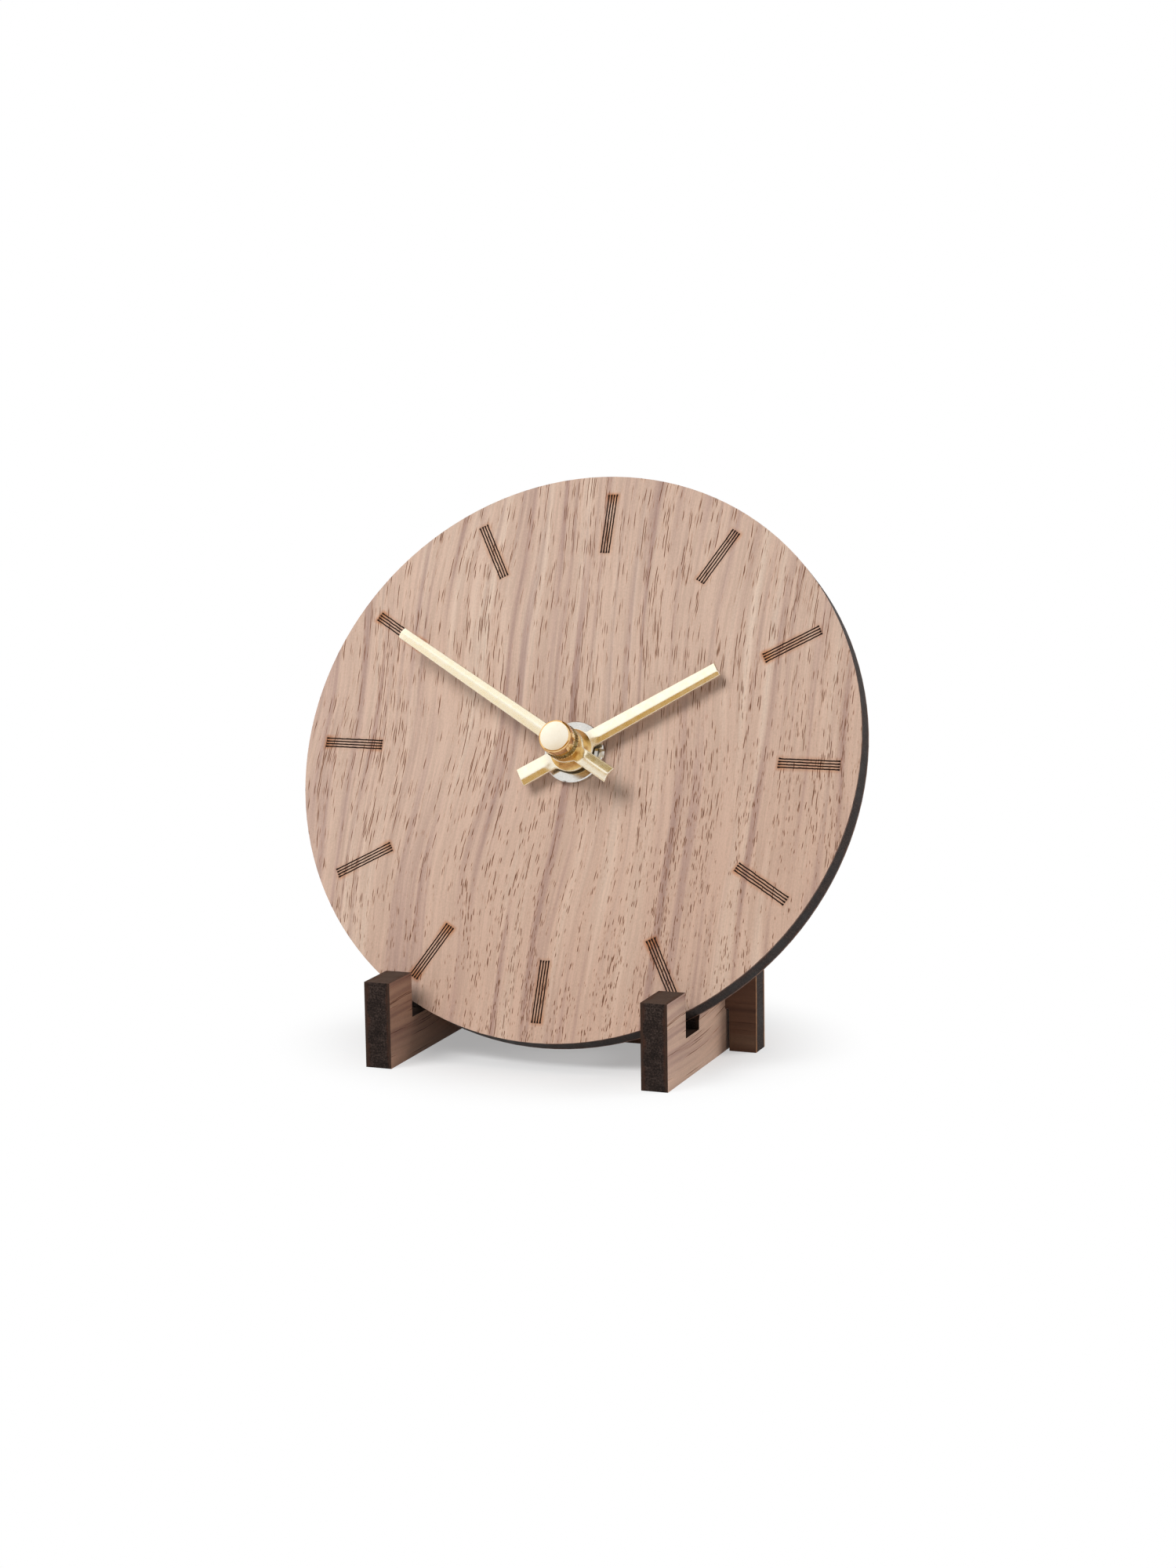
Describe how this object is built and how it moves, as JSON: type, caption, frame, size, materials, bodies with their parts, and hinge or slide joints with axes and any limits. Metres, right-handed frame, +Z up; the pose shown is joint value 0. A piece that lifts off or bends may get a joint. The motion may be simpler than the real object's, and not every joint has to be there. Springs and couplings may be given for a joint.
{
  "type": "desk clock",
  "caption": "Round walnut-veneered desk clock leaning in a slotted two-foot stand, with engraved hour marks, brass hands and a quartz movement behind the dial.",
  "frame": {"origin": "on the ground, at the middle of the clock's bounding box", "axes": "+X to the dial's right as it is read, +Y away from the reader, +Z up"},
  "size_m": [0.12, 0.067, 0.1138],
  "materials": {
    "walnut_veneer": "oiled open-pored walnut veneer",
    "fibre_core": "laser-charred fibreboard edge",
    "satin_brass": "satin brass",
    "polished_brass": "polished brass",
    "nickel_plate": "satin nickel plate",
    "rubber": "matt rubber",
    "black_abs": "fine moulded texture",
    "acetal": "natural white acetal",
    "magnet": "plated magnet",
    "copper_wire": "enamelled copper wire",
    "soft_iron": "stamped soft iron",
    "circuit_laminate": "solder mask",
    "resin": "black potting resin",
    "crystal_can": "drawn can",
    "cell_jacket": "printed jacket without any print",
    "contact_steel": "nickel-plated spring steel"
  },
  "bodies": {
    "stand": {"left_foot_core": "fibre_core", "left_foot_inner_veneer": "walnut_veneer", "left_foot_outer_veneer": "walnut_veneer", "right_foot_core": "fibre_core", "right_foot_inner_veneer": "walnut_veneer", "right_foot_outer_veneer": "walnut_veneer", "cross_board_core": "fibre_core", "cross_board_front_veneer": "walnut_veneer", "cross_board_back_veneer": "walnut_veneer"},
    "clock": {"dial_core": "fibre_core", "dial_front_veneer": "walnut_veneer", "dial_back_veneer": "walnut_veneer", "rubber_washer": "rubber", "threaded_bushing": "polished_brass", "slotted_nut": "nickel_plate", "front_plate": "black_abs", "rear_case": "black_abs", "middle_plate": "acetal", "circuit_board": "circuit_laminate", "chip": "resin", "quartz_crystal": "crystal_can", "coil_bobbin": "acetal", "coil_winding": "copper_wire", "coil_core": "soft_iron", "stator": "soft_iron", "dry_cell": "cell_jacket", "negative_contact": "contact_steel", "positive_contact": "contact_steel"},
    "minute_set": {"minute_hand": "satin_brass", "minute_arbor": "polished_brass", "hand_nut": "polished_brass", "hand_cap": "polished_brass"},
    "hour_set": {"hour_hand": "satin_brass", "hour_wheel": "acetal"},
    "minute_wheel_set": {"minute_wheel": "acetal"},
    "setting_set": {"setting_arbor": "acetal", "setting_knob": "black_abs"},
    "rotor_set": {"rotor_pinion": "acetal", "rotor_magnet": "magnet"},
    "intermediate_set": {"intermediate_wheel": "acetal"},
    "seconds_set": {"seconds_wheel": "acetal"},
    "third_set": {"third_wheel": "acetal"},
    "centre_set": {"centre_wheel": "acetal"}
  },
  "joints": [
    {"name": "clock_lift", "type": "slide", "parent": "stand", "child": "clock", "axis": [0, 0.4226, 0.9063], "range_m": [0, 0.035]},
    {"name": "minute_spin", "type": "hinge", "parent": "clock", "child": "minute_set", "pos_m": [0, 0.00178, 0.05941], "axis": [0, 0.9063, -0.4226], "continuous": true},
    {"name": "hour_spin", "type": "hinge", "parent": "clock", "child": "hour_set", "pos_m": [0, 0.00178, 0.05941], "axis": [0, 0.9063, -0.4226], "continuous": true},
    {"name": "minute_wheel_spin", "type": "hinge", "parent": "clock", "child": "minute_wheel_set", "pos_m": [-0.00649, 0.00337, 0.06281], "axis": [0, 0.9063, -0.4226], "continuous": true},
    {"name": "setting_spin", "type": "hinge", "parent": "clock", "child": "setting_set", "pos_m": [-0.01299, 0.00495, 0.06621], "axis": [0, 0.9063, -0.4226], "continuous": true},
    {"name": "rotor_spin", "type": "hinge", "parent": "clock", "child": "rotor_set", "pos_m": [0.00788, 0.00924, 0.07542], "axis": [0, 0.9063, -0.4226], "continuous": true},
    {"name": "intermediate_spin", "type": "hinge", "parent": "clock", "child": "intermediate_set", "pos_m": [0.0098, 0.00702, 0.07065], "axis": [0, 0.9063, -0.4226], "continuous": true},
    {"name": "seconds_spin", "type": "hinge", "parent": "clock", "child": "seconds_set", "pos_m": [0.0068, 0.00483, 0.06594], "axis": [0, 0.9063, -0.4226], "continuous": true},
    {"name": "third_spin", "type": "hinge", "parent": "clock", "child": "third_set", "pos_m": [0, 0.00483, 0.06594], "axis": [0, 0.9063, -0.4226], "continuous": true},
    {"name": "centre_spin", "type": "hinge", "parent": "clock", "child": "centre_set", "pos_m": [0, 0.00178, 0.05941], "axis": [0, 0.9063, -0.4226], "continuous": true}
  ],
  "couplings": [
    {"joint": "hour_spin", "follows": "minute_spin", "ratio": 0.083333},
    {"joint": "minute_wheel_spin", "follows": "minute_spin", "ratio": -0.33333},
    {"joint": "setting_spin", "follows": "minute_spin", "ratio": 1},
    {"joint": "intermediate_spin", "follows": "rotor_spin", "ratio": -0.16667},
    {"joint": "seconds_spin", "follows": "rotor_spin", "ratio": 0.033333},
    {"joint": "third_spin", "follows": "rotor_spin", "ratio": -0.0044444},
    {"joint": "centre_spin", "follows": "rotor_spin", "ratio": 0.00055556}
  ]
}
